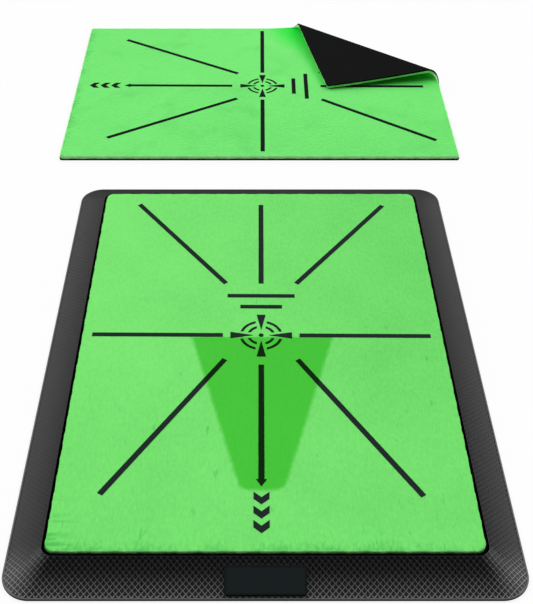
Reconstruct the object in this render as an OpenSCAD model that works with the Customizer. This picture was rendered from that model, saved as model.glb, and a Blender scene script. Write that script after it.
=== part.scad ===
// Golf hitting mat: a bevelled tray, the velvet hitting mat that drops into it, and a spare mat.
// Millimetres. Origin at the centre of the tray's underside, +Z up, +Y down the target line
// and away from the golfer's chevrons, so the swing arrow points to -Y.

/* [Mat] */
// Width of the hitting mat, across the target line
mat_w = 320; // [260:1:420]
// Length of the hitting mat, along the target line
mat_l = 450; // [420:1:600]
// Thickness of the rubber backing
rubber_t = 2; // [1.6:0.1:4]
// Height of the velvet face with its pile
pile_t = 3; // [1.5:0.1:5]
// Corner radius of the mat that lies in the tray
mat_corner_r = 6.5; // [3:0.5:15]

/* [Tray] */
// Gap between the mat and the wall of its recess
mat_gap = 2; // [1:0.1:4]
// Depth of the recess that the mat drops into
recess_d = 3; // [2:0.1:4.5]
// Width of the bevelled border, from the recess to the outer edge
border_w = 28; // [24:1:50]
// Height of the tray at the crest of its border
tray_h = 15; // [12:0.5:25]
// Height of the upright lip at the foot of the bevel
lip_h = 2; // [1:0.1:4]
// Flat land along the crest of the border
crest_w = 0.8; // [0.4:0.1:3]
// Corner radius of the tray's outer edge
tray_corner_r = 22; // [12:1:40]

/* [Badge] */
// Width of the blank badge plate
badge_w = 59; // [30:1:100]
// Height of the badge plate, up the bevel
badge_h = 21; // [10:0.5:22]
// Thickness of the badge plate
badge_t = 1.5; // [1:0.1:3]
// Depth of the badge's seat in the bevel
badge_sink = 0.9; // [0.3:0.1:2]
// Distance from the top of the bevel down to the badge's centre
badge_drop = 16.4; // [12:0.1:17]
// Corner radius of the badge plate
badge_corner_r = 1; // [0.5:0.1:4]
// Width of the badge's raised rim
rim_w = 1; // [0.5:0.1:3]
// Height of the badge's raised rim
rim_h = 0.3; // [0.2:0.1:0.8]

/* [Grip sheet] */
// Thickness of the non-slip sheet under the tray
grip_t = 2; // [1:0.1:3]
// Distance from the tray's outer edge in to the non-slip sheet
grip_inset = 8; // [4:0.5:25]
// Corner radius of the non-slip sheet
grip_corner_r = 14; // [5:0.5:30]

/* [Hook and loop] */
// Width of each fastening strip
strip_w = 25; // [10:1:40]
// Length of each fastening strip
strip_l = 300; // [100:5:360]
// Distance between the centres of the two strips
strip_pitch = 80; // [50:1:150]
// Thickness of the hook strips in the tray
hook_t = 1.2; // [0.6:0.1:2]
// Thickness of the loop strips under a mat
loop_t = 0.8; // [0.4:0.1:1.2]

/* [Printed marks] */
// Thickness of the printed film
film_t = 0.3; // [0.1:0.05:0.6]
// Width of the printed lines
line_w = 4.7; // [2:0.1:8]
// Angle by which the print sits askew on a mat, about the target's centre
print_turn = -0.45; // [-2:0.05:2]
// How far the print sits to the side of a mat's middle
print_aside = -0.9; // [-5:0.1:5]
// Distance of the target's centre from the mat's middle
target_y = 5; // [-20:1:20]
// Outer radius of the large target ring
ring_r = 19; // [16:0.5:22]
// Outer radius of the small target ring
inner_ring_r = 12.3; // [9:0.1:14]
// Width of the rings' strokes
ring_w = 2.4; // [1:0.1:3]
// Width of the break in the large ring at each pointer
ring_break = 10; // [9:0.5:14]
// Width of the break in the small ring at each pointer
inner_ring_break = 7.8; // [6:0.2:12]
// Radius of the target's centre dot
dot_r = 2.2; // [1:0.1:4]
// Distance from the target's centre to a pointer's tip
pointer_in = 7; // [5:0.1:12]
// Distance from the target's centre to a pointer's base
pointer_out = 27.3; // [24:0.1:32]
// Width of a pointer's base
pointer_w = 8; // [4:0.1:9]
// Width of the long cross bar
long_bar_w = 62; // [40:1:90]
// Distance of the long cross bar beyond the target's centre
long_bar_y = 54; // [46:0.5:62]
// Width of the short cross bar
short_bar_w = 38; // [20:1:60]
// Distance of the short cross bar beyond the target's centre
short_bar_y = 38.6; // [34:0.1:41]
// Distance from the target's centre to the near ends of the side lines
side_line_in = 34; // [32:0.5:60]
// Margin between the side lines and the mat's long edges
side_margin = 10; // [5:0.5:30]
// Distance beyond the target's centre at which the far lines start
far_line_in = 72; // [68:0.5:90]
// Sideways start of the far slanting lines
far_slant_in = 33; // [20:0.5:50]
// Sideways margin at the outer ends of the far slanting lines
far_slant_margin = 35; // [15:0.5:60]
// Margin between the far lines and the mat's far edge
far_margin = 21; // [10:0.5:50]
// Distance before the target's centre at which the near slanting lines start
near_line_in = 31; // [28:0.5:50]
// Sideways start of the near slanting lines
near_slant_in = 31.5; // [20:0.5:50]
// Sideways margin at the outer ends of the near slanting lines
near_slant_margin = 37.5; // [15:0.5:60]
// Margin between the near slanting lines and the mat's near edge
near_margin = 51; // [30:0.5:80]
// Distance before the target's centre at which the arrow's shaft starts
arrow_in = 37.6; // [32:0.1:60]
// Margin between the arrow's tip and the mat's near edge
arrow_margin = 59.5; // [57:0.5:80]
// Length of the arrow's head
arrow_head_l = 7; // [4:0.5:15]
// Width of the arrow's head
arrow_head_w = 8.4; // [6:0.1:15]
// Number of chevrons after the arrow
chevron_count = 3; // [2:1:3]
// Width of a chevron
chevron_w = 12; // [6:0.5:20]
// Thickness of a chevron's arms, along the mat
chevron_arm = 6.6; // [3:0.1:8]
// Depth of a chevron's point
chevron_point = 5.2; // [2:0.1:6]
// Distance from one chevron to the next
chevron_pitch = 13.2; // [12.4:0.1:14]
// Margin between the last chevron's point and the mat's near edge
chevron_margin = 16; // [8:0.5:17]

/* [Spare mat] */
// Gap between the tray and the spare mat lying beyond it
spare_gap = 60; // [20:1:300]
// Corner radius of the spare mat
spare_corner_r = 3; // [1:0.5:6]
// Distance from the folded corner to the fold, along the mat's length
fold_long = 185; // [150:1:200]
// Distance from the folded corner to the fold, along the mat's width
fold_wide = 155; // [120:1:160]
// Radius of the fold, at the face between rubber and pile
fold_r = 7; // [6:0.5:14]
// Clearance between the resting flap and what lies under its tip
flap_gap = 0.3; // [0.2:0.1:1]

/* [Fits] */
// Clearance round a plate, strip or sheet in its seat
seat_gap = 0.3; // [0.1:0.05:0.8]

/* [Hidden] */

$fn = 64;
hull_fn = 40;          // facets round each corner circle of the bevel
band_h = 0.2;          // upright band under the crest, where the bevel starts
cut = 1;               // how far a cutting shape runs past the face it cuts
strip_r = 2;           // corner radius of the fastening strips

mat_t = rubber_t + pile_t;
recess_w = mat_w + 2 * mat_gap;
recess_l = mat_l + 2 * mat_gap;
recess_z = tray_h - recess_d;
mat_top = recess_z + mat_t;
tray_w = recess_w + 2 * border_w;
tray_l = recess_l + 2 * border_w;

bevel_run = border_w - crest_w;
bevel_rise = tray_h - band_h - lip_h;
bevel_angle = atan2(bevel_rise, bevel_run);
bevel_top = [0, -tray_l / 2 + bevel_run, tray_h - band_h];

hook_color = "#1c1d1f";
tray_color = "#2d2e30";
badge_color = "#1e2628";
rubber_color = "#17181a";
turf_color = "#6fe06a";
print_color = "#222b2a";

// ---------- outlines ----------

module rounded_outline(w, l, r) {
    square([w - 2 * r, l], center = true);
    square([w, l - 2 * r], center = true);
    for (x = [-1, 1], y = [-1, 1])
        translate([x * (w / 2 - r), y * (l / 2 - r)]) circle(r);
}

module rounded_plate(w, l, t, r) {
    linear_extrude(t) rounded_outline(w, l, r);
}

// One straight printed line from point a to point b, with square ends
module stroke(a, b, w = line_w) {
    run = b - a;
    side = [-run.y, run.x] / norm(run) * w / 2;
    polygon([a - side, b - side, b + side, a + side]);
}

// ---------- tray ----------

// The badge's own frame: x along the plate, y up the bevel, z out of the bevel
module on_bevel() {
    translate(bevel_top) rotate([bevel_angle, 0, 0]) translate([0, -badge_drop, 0]) children();
}

module bevelled_block() {
    hull() {
        rounded_plate(tray_w, tray_l, lip_h, tray_corner_r, $fn = hull_fn);
        translate([0, 0, tray_h - band_h])
            rounded_plate(recess_w + 2 * crest_w, recess_l + 2 * crest_w, band_h,
                          mat_corner_r + mat_gap + crest_w, $fn = hull_fn);
    }
}

module strip_pair(w, l, t) {
    for (x = [-1, 1]) translate([x * strip_pitch / 2, 0, 0]) rounded_plate(w, l, t, strip_r);
}

module tray() {
    color(tray_color) difference() {
        bevelled_block();
        translate([0, 0, recess_z])
            rounded_plate(recess_w, recess_l, recess_d + cut, mat_corner_r + mat_gap);
        translate([0, 0, recess_z - hook_t])
            strip_pair(strip_w + 2 * seat_gap, strip_l + 2 * seat_gap, hook_t + cut);
        translate([0, 0, -cut])
            rounded_plate(tray_w - 2 * grip_inset, tray_l - 2 * grip_inset, grip_t + cut, grip_corner_r);
        on_bevel() translate([0, 0, -badge_sink])
            rounded_plate(badge_w + 2 * seat_gap, badge_h + 2 * seat_gap, badge_sink + cut, badge_corner_r);
    }
}

module badge_plate() {
    color(badge_color) on_bevel() translate([0, 0, -badge_sink]) {
        rounded_plate(badge_w, badge_h, badge_t, badge_corner_r);
        translate([0, 0, badge_t]) linear_extrude(rim_h) difference() {
            rounded_outline(badge_w, badge_h, badge_corner_r);
            square([badge_w - 2 * rim_w, badge_h - 2 * rim_w], center = true);
        }
    }
}

module grip_sheet() {
    inset = grip_inset + seat_gap;
    color(rubber_color)
        rounded_plate(tray_w - 2 * inset, tray_l - 2 * inset, grip_t, grip_corner_r - seat_gap);
}

module hook_strips() {
    color(hook_color) translate([0, 0, recess_z - hook_t]) strip_pair(strip_w, strip_l, hook_t);
}

// ---------- printed marks, flat, on a mat centred at the origin ----------

function mirrored(p) = [-p.x, p.y];
far_slant_start = [-far_slant_in, target_y + far_line_in];
far_slant_end = [-mat_w / 2 + far_slant_margin, mat_l / 2 - far_margin];
near_slant_start = [-near_slant_in, target_y - near_line_in];
near_slant_end = [-mat_w / 2 + near_slant_margin, -mat_l / 2 + near_margin];

module aim_lines() {
    stroke([0, target_y + far_line_in], [0, mat_l / 2 - far_margin]);
    stroke(far_slant_start, far_slant_end);
    stroke(mirrored(far_slant_start), mirrored(far_slant_end));
    stroke(near_slant_start, near_slant_end);
    stroke(mirrored(near_slant_start), mirrored(near_slant_end));
    for (x = [-1, 1])
        stroke([x * side_line_in, target_y], [x * (mat_w / 2 - side_margin), target_y]);
}

module cross_bars() {
    for (bar = [[long_bar_w, long_bar_y], [short_bar_w, short_bar_y]])
        translate([0, target_y + bar[1]]) square([bar[0], line_w], center = true);
}

module target_rings() {
    for (ring = [[ring_r, ring_break], [inner_ring_r, inner_ring_break]])
        translate([0, target_y]) difference() {
            circle(ring[0]);
            circle(ring[0] - ring_w);
            square([2 * ring[0] + cut, ring[1]], center = true);
            square([ring[1], 2 * ring[0] + cut], center = true);
        }
}

module pointers() {
    translate([0, target_y]) for (turn = [0:90:270]) rotate(turn)
        polygon([[pointer_in, 0], [pointer_out, pointer_w / 2], [pointer_out, -pointer_w / 2]]);
}

module centre_dot() {
    translate([0, target_y]) circle(dot_r);
}

module swing_arrow() {
    tip_y = -mat_l / 2 + arrow_margin;
    head_y = tip_y + arrow_head_l;
    right_side = [[line_w / 2, target_y - arrow_in], [line_w / 2, head_y], [arrow_head_w / 2, head_y]];
    left_side = [for (i = [2:-1:0]) [-right_side[i].x, right_side[i].y]];
    polygon(concat(right_side, [[0, tip_y]], left_side));
}

module chevrons() {
    half = chevron_w / 2;
    for (i = [0:chevron_count - 1])
        translate([0, -mat_l / 2 + chevron_margin + i * chevron_pitch])
            polygon([[0, 0], [half, chevron_point], [half, chevron_point + chevron_arm],
                     [0, chevron_arm], [-half, chevron_point + chevron_arm], [-half, chevron_point]]);
}

// Places the marks on a mat as the print sits: a little askew and to the side
module askew() {
    translate([print_aside, target_y]) rotate(print_turn) translate([0, -target_y]) children();
}

// ---------- the mat in the tray ----------

module mat_rubber() {
    color(rubber_color) translate([0, 0, recess_z]) difference() {
        rounded_plate(mat_w, mat_l, rubber_t, mat_corner_r);
        translate([0, 0, -cut])
            strip_pair(strip_w + 2 * seat_gap, strip_l + 2 * seat_gap, loop_t + cut);
    }
}

module mat_turf() {
    color(turf_color) translate([0, 0, recess_z + rubber_t])
        rounded_plate(mat_w, mat_l, pile_t, mat_corner_r);
}

module mat_loop_strips() {
    color(hook_color) translate([0, 0, recess_z]) strip_pair(strip_w, strip_l, loop_t);
}

module on_mat() {
    color(print_color) translate([0, 0, mat_top]) linear_extrude(film_t) askew() children();
}

// ---------- the spare mat, with one corner folded over ----------

fold_len = norm([fold_long, fold_wide]);
fold_reach = fold_long * fold_wide / fold_len;        // from the fold to the corner's tip
tip_along = fold_long * fold_long / fold_len;         // the tip's place along the fold
fold_start = [-mat_w / 2, mat_l / 2 - fold_long];
fold_dir = [fold_wide, fold_long] / fold_len;
fold_out = [-fold_long, fold_wide] / fold_len;        // across the fold, towards the corner
tip_cut = spare_corner_r * (sqrt(2) - 1);             // what the round corner takes off the tip
roll_steps = 16;

// How far the flap dips below level, so that its tip comes down to flap_gap above the printed pile
function flap_dip(steps, dip = 0) = steps == 0 ? dip : flap_dip(steps - 1,
    asin((fold_r + (fold_r - pile_t) * cos(dip) - pile_t - film_t - flap_gap)
         / (fold_reach - fold_r * (180 + dip) * PI / 180)));
roll_angle = 180 + flap_dip(6);
roll_s = fold_r * roll_angle * PI / 180;

// Where a point of the mat goes: u along the fold, s across it, n above the face under the pile
function folded_point(u, s, n) = let (
    turn = min(max(s, 0), roll_s) / roll_s * roll_angle,
    past = max(s - roll_s, 0),
    across = min(s, 0) + (fold_r - n) * sin(turn) + past * cos(turn),
    plan = fold_start + u * fold_dir + across * fold_out)
    [plan.x, plan.y, rubber_t + fold_r - (fold_r - n) * cos(turn) + past * sin(turn)];

// Edges of the mat's corner, at distance s past the fold
corner_span = function (s)
    [tip_along * s / fold_reach, fold_len - (fold_len - tip_along) * s / fold_reach];

// Where the print's sitting askew puts one of its points
function askew_point(p) = [
    print_aside + p.x * cos(print_turn) - (p.y - target_y) * sin(print_turn),
    target_y + p.x * sin(print_turn) + (p.y - target_y) * cos(print_turn)];

// Edges of the slanting printed line, at distance s past the fold
slant_end = askew_point(far_slant_end);
slant_run = (slant_end - askew_point(far_slant_start)) / norm(far_slant_end - far_slant_start);
slant_s = (slant_end - fold_start) * fold_out;
slant_u = (slant_end - fold_start) * fold_dir;
slant_span = function (s) let (
    mid = slant_u + (s - slant_s) * (slant_run * fold_dir) / (slant_run * fold_out),
    half = line_w / 2 / abs(slant_run * fold_out))
    [mid - half, mid + half];

// A layer that runs over the fold, from n0 to n1 above the face under the pile
module folded_band(span, s_end, n0, n1) {
    stations = concat([-cut], [for (i = [0:roll_steps]) min(i * roll_s / roll_steps, s_end)],
                      s_end > roll_s ? [s_end] : []);
    last = len(stations) - 1;
    points = [for (s = stations) let (edge = span(s)) each [
        folded_point(edge[0], s, n0), folded_point(edge[1], s, n0),
        folded_point(edge[1], s, n1), folded_point(edge[0], s, n1)]];
    sides = [for (i = [0:last - 1], j = [0:3]) let (k = (j + 1) % 4, a = 4 * i, b = a + 4)
        each [[a + j, a + k, b + k], [a + j, b + k, b + j]]];
    polyhedron(points, concat([[3, 2, 1, 0], [for (j = [0:3]) 4 * last + j]], sides));
}

module past_fold() {
    translate(fold_start) rotate(atan2(fold_dir.y, fold_dir.x)) translate([-mat_l, 0])
        square([3 * mat_l, mat_l]);
}

module flat_zone() {
    difference() {
        rounded_outline(mat_w, mat_l, spare_corner_r);
        past_fold();
    }
}

module place_spare() {
    translate([0, tray_l / 2 + spare_gap + mat_w / 2, 0]) rotate(-90) children();
}

module spare_layer(z, t) {
    translate([0, 0, z]) linear_extrude(t) flat_zone();
    folded_band(corner_span, fold_reach - tip_cut, z - rubber_t, z - rubber_t + t);
}

module spare_rubber() {
    color(rubber_color) place_spare() difference() {
        spare_layer(0, rubber_t);
        translate([0, 0, -cut])
            strip_pair(strip_w + 2 * seat_gap, strip_l + 2 * seat_gap, loop_t + cut);
    }
}

module spare_turf() {
    color(turf_color) place_spare() spare_layer(rubber_t, pile_t);
}

module spare_loop_strips() {
    color(hook_color) place_spare() strip_pair(strip_w, strip_l, loop_t);
}

module on_spare() {
    color(print_color) place_spare() translate([0, 0, mat_t]) linear_extrude(film_t) intersection() {
        askew() children();
        flat_zone();
    }
}

module spare_aim_lines() {
    on_spare() aim_lines();
    color(print_color) place_spare() folded_band(slant_span, slant_s, pile_t, pile_t + film_t);
}

tray();
badge_plate();
grip_sheet();
hook_strips();
mat_rubber();
mat_turf();
mat_loop_strips();
on_mat() aim_lines();  // mat_aim_lines
on_mat() cross_bars();  // mat_cross_bars
on_mat() target_rings();  // mat_target_rings
on_mat() pointers();  // mat_pointers
on_mat() centre_dot();  // mat_centre_dot
on_mat() swing_arrow();  // mat_swing_arrow
on_mat() chevrons();  // mat_chevrons
spare_rubber();
spare_turf();
spare_loop_strips();
spare_aim_lines();
on_spare() cross_bars();  // spare_cross_bars
on_spare() target_rings();  // spare_target_rings
on_spare() pointers();  // spare_pointers
on_spare() centre_dot();  // spare_centre_dot
on_spare() swing_arrow();  // spare_swing_arrow
on_spare() chevrons();  // spare_chevrons
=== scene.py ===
import math

import bmesh
import bpy
import numpy as np
from mathutils import Matrix, Vector, noise


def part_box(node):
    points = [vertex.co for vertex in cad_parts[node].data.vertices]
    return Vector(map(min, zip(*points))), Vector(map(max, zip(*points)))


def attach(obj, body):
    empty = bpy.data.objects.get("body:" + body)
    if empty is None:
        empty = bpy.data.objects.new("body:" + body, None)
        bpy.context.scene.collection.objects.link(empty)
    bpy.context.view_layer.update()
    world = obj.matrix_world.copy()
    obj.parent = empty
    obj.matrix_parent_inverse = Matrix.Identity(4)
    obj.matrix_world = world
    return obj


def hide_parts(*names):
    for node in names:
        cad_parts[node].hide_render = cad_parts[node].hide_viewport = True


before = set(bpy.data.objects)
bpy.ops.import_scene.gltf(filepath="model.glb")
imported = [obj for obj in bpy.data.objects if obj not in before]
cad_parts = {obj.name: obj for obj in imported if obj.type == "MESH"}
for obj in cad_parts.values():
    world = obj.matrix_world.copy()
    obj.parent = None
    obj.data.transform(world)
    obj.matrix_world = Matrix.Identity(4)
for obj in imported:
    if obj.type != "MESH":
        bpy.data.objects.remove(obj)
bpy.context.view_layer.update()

bl_info = {
    "name": "Golf hitting mat",
    "version": (1, 0, 0),
    "blender": (4, 5, 0),
    "location": "View3D > Sidebar > Hitting mat",
    "description": "Dresses a bevelled tray, its velvet hitting mat and a folded spare mat",
    "category": "Object",
}

MM = 0.001
MARKS = ("aim_lines", "cross_bars", "target_rings", "pointers", "centre_dot", "swing_arrow", "chevrons")


# ---------- the frame's sizes ----------

def spans(node):
    """Size of a CAD node's box along X, Y and Z."""
    low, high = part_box(node)
    return [high[i] - low[i] for i in range(3)]


def foot_of(node):
    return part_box(node)[0][2]


def top_of(node):
    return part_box(node)[1][2]


TRAY_W, TRAY_L, TRAY_H = spans("tray")
MAT_W, MAT_L, RUBBER_T = spans("mat_rubber")
MAT_FOOT = foot_of("mat_rubber")
PILE_FOOT = foot_of("mat_turf")
PILE_T = top_of("mat_turf") - PILE_FOOT
LOOP_T = spans("mat_loop_strips")[2]
SPARE_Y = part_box("spare_turf")[0][1] + MAT_W / 2


# ---------- settings ----------

def length(name, text, default, low=0.0):
    return bpy.props.FloatProperty(name=name, description=text, default=default, min=low, max=1.0,
                                   subtype="DISTANCE", unit="LENGTH", precision=5)


def share(name, text, default, high=1.0):
    return bpy.props.FloatProperty(name=name, description=text, default=default, min=0, max=high,
                                   subtype="FACTOR")


def angle(name, text, degrees):
    return bpy.props.FloatProperty(name=name, description=text, default=math.radians(degrees),
                                   subtype="ANGLE", unit="ROTATION")


def amount(name, text, default):
    return bpy.props.FloatProperty(name=name, description=text, default=default)


def colour(name, text, default):
    return bpy.props.FloatVectorProperty(name=name, description=text, default=default, size=3,
                                         min=0, max=1, subtype="COLOR")


class TraySettings(bpy.types.PropertyGroup):
    """Sizes and colours of the moulded tray and its badge."""
    gap: length("Mat gap", "Gap between the mat and the recess wall", 2 * MM)
    crest: length("Crest", "Flat land along the crest", 0.35 * MM)
    lip: length("Lip", "Height of the upright lip", 2 * MM)
    ledge: length("Ledge", "Width of the flat ledge on top of the lip", 1.3 * MM)
    outer_radius: length("Outer radius", "Corner radius of the tray's outer edge", 22 * MM)
    inner_radius: length("Inner radius", "Corner radius of the recess", 8.5 * MM)
    sag: length("Sag", "Depth of the bevel's hollow halfway up", 0.9 * MM)
    net_pitch: length("Net pitch", "Distance between two parallel ridges of the net", 3.2 * MM)
    net_depth: length("Net depth", "Depth of the pits between the ridges", 0.4 * MM)
    shoulder_share: share("Shoulder share", "Width of a cell inside its ridge's round top", 0.86)
    shoulder_drop: share("Shoulder drop", "How far down the ridge's round top reaches, as a share", 0.2)
    pit_share: share("Pit share", "Width of a pit's floor as a share of its cell", 0.72)
    play: length("Play", "Clearance round the pieces let into the tray", 0.3 * MM)
    ridge_colour: colour("Ridges", "Colour of the net's ridges", (0.005, 0.0048, 0.0048))
    # Painted light: the ridges' colour low on the near slope by the lip, far lighter than the ridges
    # elsewhere.
    painted_light_ridge_colour: colour("Worn ridges", "Colour of the ridges by the lip", (0.11, 0.108, 0.106))
    rubber_colour: colour("Rubber", "Colour of the smooth moulded rubber", (0.0050, 0.0048, 0.0048))
    # Painted highlight: the ledge's colour, much lighter than the rubber.
    ledge_highlight_colour: colour("Worn rubber", "Colour of the rubbed ledge on the lip", (0.05, 0.048, 0.047))
    # The zone by the near edge where the net gets its painted light and more gloss.
    near_light_from: length("Trodden from", "Distance from the near edge where wear starts", 48 * MM)
    near_light_full: length("Trodden full", "Distance from the near edge where wear is full", 18 * MM)
    polish: share("Polish", "Gloss of the ridges away from the near edge", 0.4)
    pit_polish: share("Pit polish", "Gloss of the pits", 0.23)
    badge_colour: colour("Badge", "Colour of the badge's plate", (0.0062, 0.0108, 0.0122))
    # The frame is painted darker, as painted shadow along the plate's edge.
    badge_frame: length("Badge frame", "Width of the badge's raised frame", 1.2 * MM)


class PileSettings(bpy.types.PropertyGroup):
    """Sizes and colours of the mats' velvet and rubber."""
    corner: length("Corner", "Corner radius of the mat in the tray", 6.5 * MM)
    spare_corner: length("Spare corner", "Corner radius of the spare mat", 3 * MM)
    step: length("Mesh step", "Distance between the points of the pile's mesh", 2.5 * MM)
    roll_off: length("Roll-off", "Width of the soft round at the pile's edge", 1.1 * MM)
    waver: length("Waver", "How far the pile's edge strays in and out", 0.35 * MM)
    tufts: amount("Tufts", "Tufts to the square metre", 320000)
    tuft_length: length("Tuft length", "Length of a tuft lying along the nap", 1.0 * MM)
    tuft_width: length("Tuft width", "Width of a tuft at its root", 0.28 * MM)
    tuft_rise: share("Tuft rise", "How steeply a tuft stands up from the pile", 0.1)
    bright: colour("Bright", "Pile that leans away from the light", (0.207, 0.81, 0.174))
    deep: colour("Deep", "Pile that stands upright", (0.125, 0.62, 0.118))
    brushed: colour("Brushed", "Pile that the club has stroked", (0.058, 0.545, 0.038))
    pressed: colour("Pressed", "Pile pressed down along the near edge", (0.05, 0.47, 0.075))
    pressed_band: length("Pressed band", "Width of the pressed band along the near edge", 15 * MM)
    # Painted shade: this deep colour stands in for shade in the bend and for the flap's shadow.
    inside: colour("Inside", "Pile seen deep into where the mat bends", (0.012, 0.85, 0.05))
    unplayed: colour("Unplayed", "Colour that lightens pile not played on yet", (0.2, 1.0, 0.24))
    unplayed_share: share("Unplayed share", "How much of that colour the fresh pile has", 0.3)
    # Painted highlight: a light rim painted along the pile's cut edges.
    edge_highlight: colour("Cut edge", "Tips of the pile along a mat's cut edge", (0.42, 1.0, 0.38))
    rim_from: length("Rim from", "Distance from a cut edge where its light rim starts", 1.6 * MM)
    rim_full: length("Rim full", "Distance from a cut edge where its light rim is full", 0.6 * MM)
    backing_colour: colour("Backing", "Colour of the mats' rubber", (0.0058, 0.0066, 0.0060))
    backing_round: length("Backing's round", "Width of the round on the rubber's upper edge", 0.3 * MM)
    brushed_far: length("Stroke's far end", "Half width of the stroked patch at the target", 62.4 * MM)
    brushed_near: length("Stroke's near end", "Half width of the stroked patch at the chevrons",
                         16.7 * MM)
    brushed_corner: length("Stroke's corner", "Corner radius of the stroked patch", 7 * MM)
    brushed_start: length("Stroke's start", "Where the stroked patch starts", 2.7 * MM, low=-1.0)
    brushed_end: length("Stroke's end", "Where the stroked patch ends", -169 * MM, low=-1.0)
    brushed_soft: length("Stroke's edge", "Width of the stroked patch's soft edge", 5 * MM)
    brushed_aside: length("Stroke's offset", "How far the stroked patch's near end lies aside",
                          -1.7 * MM, low=-1.0)


class FoldSettings(bpy.types.PropertyGroup):
    """Shape of the spare mat's folded corner."""
    long: length("Fold long", "From the corner to the fold along the mat's length", 185 * MM)
    wide: length("Fold wide", "From the corner to the fold along the mat's width", 155 * MM)
    radius_far: length("Far radius", "Radius of the fold at the mat's far edge", 5.6 * MM)
    radius_near: length("Near radius", "Radius of the fold at the mat's short side", 7.2 * MM)
    lift: length("Lift", "Length of mat that lifts off the floor before the fold", 24 * MM)
    lift_angle: angle("Lift angle", "Slope that the mat has reached where it folds", 8)
    settle: angle("Settle", "How much the flap levels out towards its tip", 6)
    tip_gap: length("Tip gap", "Clearance under the flap's tip", 0.6 * MM)


class PrintSettings(bpy.types.PropertyGroup):
    """Look of the marks printed on the pile."""
    ink: colour("Ink", "Colour of the printed pile", (0.0135, 0.0215, 0.0205))
    brushed_ink: colour("Brushed ink", "Colour of the print in the stroked patch",
                        (0.0028, 0.0175, 0.0025))
    edge_step: length("Edge step", "Distance between the points of a mark's edge", 0.7 * MM)
    fray: length("Fray", "How far the tufts make a mark's edge stray", 0.14 * MM)
    bend_step: length("Bend step", "Distance between the mesh lines where a mark bends", 2 * MM)
    tufts: amount("Tufts", "Tufts to the square metre of print", 700000)


class FittingSettings(bpy.types.PropertyGroup):
    """Sizes and colours of the grip sheet and of the hook-and-loop strips."""
    stud_pitch: length("Stud pitch", "Distance between two studs of the grip sheet", 8 * MM)
    stud_radius: length("Stud radius", "Radius of a stud at its root", 2.3 * MM)
    stud_height: length("Stud height", "Height of a stud", 0.7 * MM)
    stud_margin: length("Stud margin", "Bare edge round the studs", 5 * MM)
    stud_top: share("Stud top", "Radius of a stud's top as a share of its root", 0.72)
    sheet_corner: length("Sheet corner", "Corner radius of the grip sheet", 14 * MM)
    hook_pitch: length("Hook pitch", "Distance between two hooks or loops of a strip", 2.2 * MM)
    hook_radius: length("Hook radius", "Radius of a hook's bend", 0.36 * MM)
    strand: length("Strand", "Thickness of a hook's or loop's strand", 0.16 * MM)
    strip_base: length("Strip base", "Thickness of a strip's woven base", 0.35 * MM)
    hook_sweep: angle("Hook sweep", "How far a hook bends round", 215)
    loop_sweep: angle("Loop sweep", "How far a loop bends round", 180)
    grip_colour: colour("Grip sheet", "Colour of the grip sheet", (0.018, 0.018, 0.019))
    hook_colour: colour("Hooks", "Colour of the hook strips", (0.012, 0.012, 0.013))
    loop_colour: colour("Loops", "Colour of the loop strips", (0.016, 0.016, 0.017))


class StageSettings(bpy.types.PropertyGroup):
    """Camera, light and floor."""
    lens: amount("Lens", "Focal length in millimetres", 61.7)
    shift: amount("Shift", "Sideways shift of the lens", 0.0293)
    height: length("Height", "Height of the camera above the floor", 637 * MM)
    before: length("Before", "Distance of the camera before the tray's centre", 672.8 * MM)
    aside: length("Aside", "Distance of the camera to the left of the tray's centre", 11.9 * MM)
    pitch: angle("Pitch", "How far the camera looks down", 40.61)
    dim: share("Dim", "Strength of the light all round", 0.06, high=4)
    bright: share("Bright", "Strength of the soft light", 3.48, high=6)
    middle: share("Middle", "Strength of the soft light in the middle as a share of its sides", 0.3)
    sides_from: amount("Sides from", "Sideways direction where the light's sides start", 0.1)
    sides_full: amount("Sides full", "Sideways direction where the light's sides are full", 0.5)
    front: amount("Front", "Direction to the back where the soft light starts", -0.35)
    back: amount("Back", "Direction to the back where the soft light is full", 0.45)
    low: amount("Low", "Upward direction where the soft light starts", 0.0)
    high: amount("High", "Upward direction where the soft light is full", 0.7)
    floor_drop: length("Floor drop", "How far the floor lies below the tray's foot", 0.2 * MM)


# ---------- node trees as expressions ----------

class Value:
    """One output socket. Python's operators on it add Math nodes to its tree."""

    def __init__(self, graph, socket):
        self.graph = graph
        self.socket = socket

    def __add__(self, other):
        return self.graph.maths("ADD", self, other)

    def __sub__(self, other):
        return self.graph.maths("SUBTRACT", self, other)

    def __rsub__(self, other):
        return self.graph.maths("SUBTRACT", other, self)

    def __mul__(self, other):
        return self.graph.maths("MULTIPLY", self, other)

    def __truediv__(self, other):
        return self.graph.maths("DIVIDE", self, other)

    def __gt__(self, other):
        return self.graph.maths("GREATER_THAN", self, other)

    def __lt__(self, other):
        return self.graph.maths("LESS_THAN", self, other)

    def __abs__(self):
        return self.graph.maths("ABSOLUTE", self)

    def root(self):
        return self.graph.maths("SQRT", self.most(0))

    def sign(self):
        return self.graph.maths("SIGN", self)

    def least(self, other):
        return self.graph.maths("MINIMUM", self, other)

    def most(self, other):
        return self.graph.maths("MAXIMUM", self, other)

    __radd__ = __add__
    __rmul__ = __mul__


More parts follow.
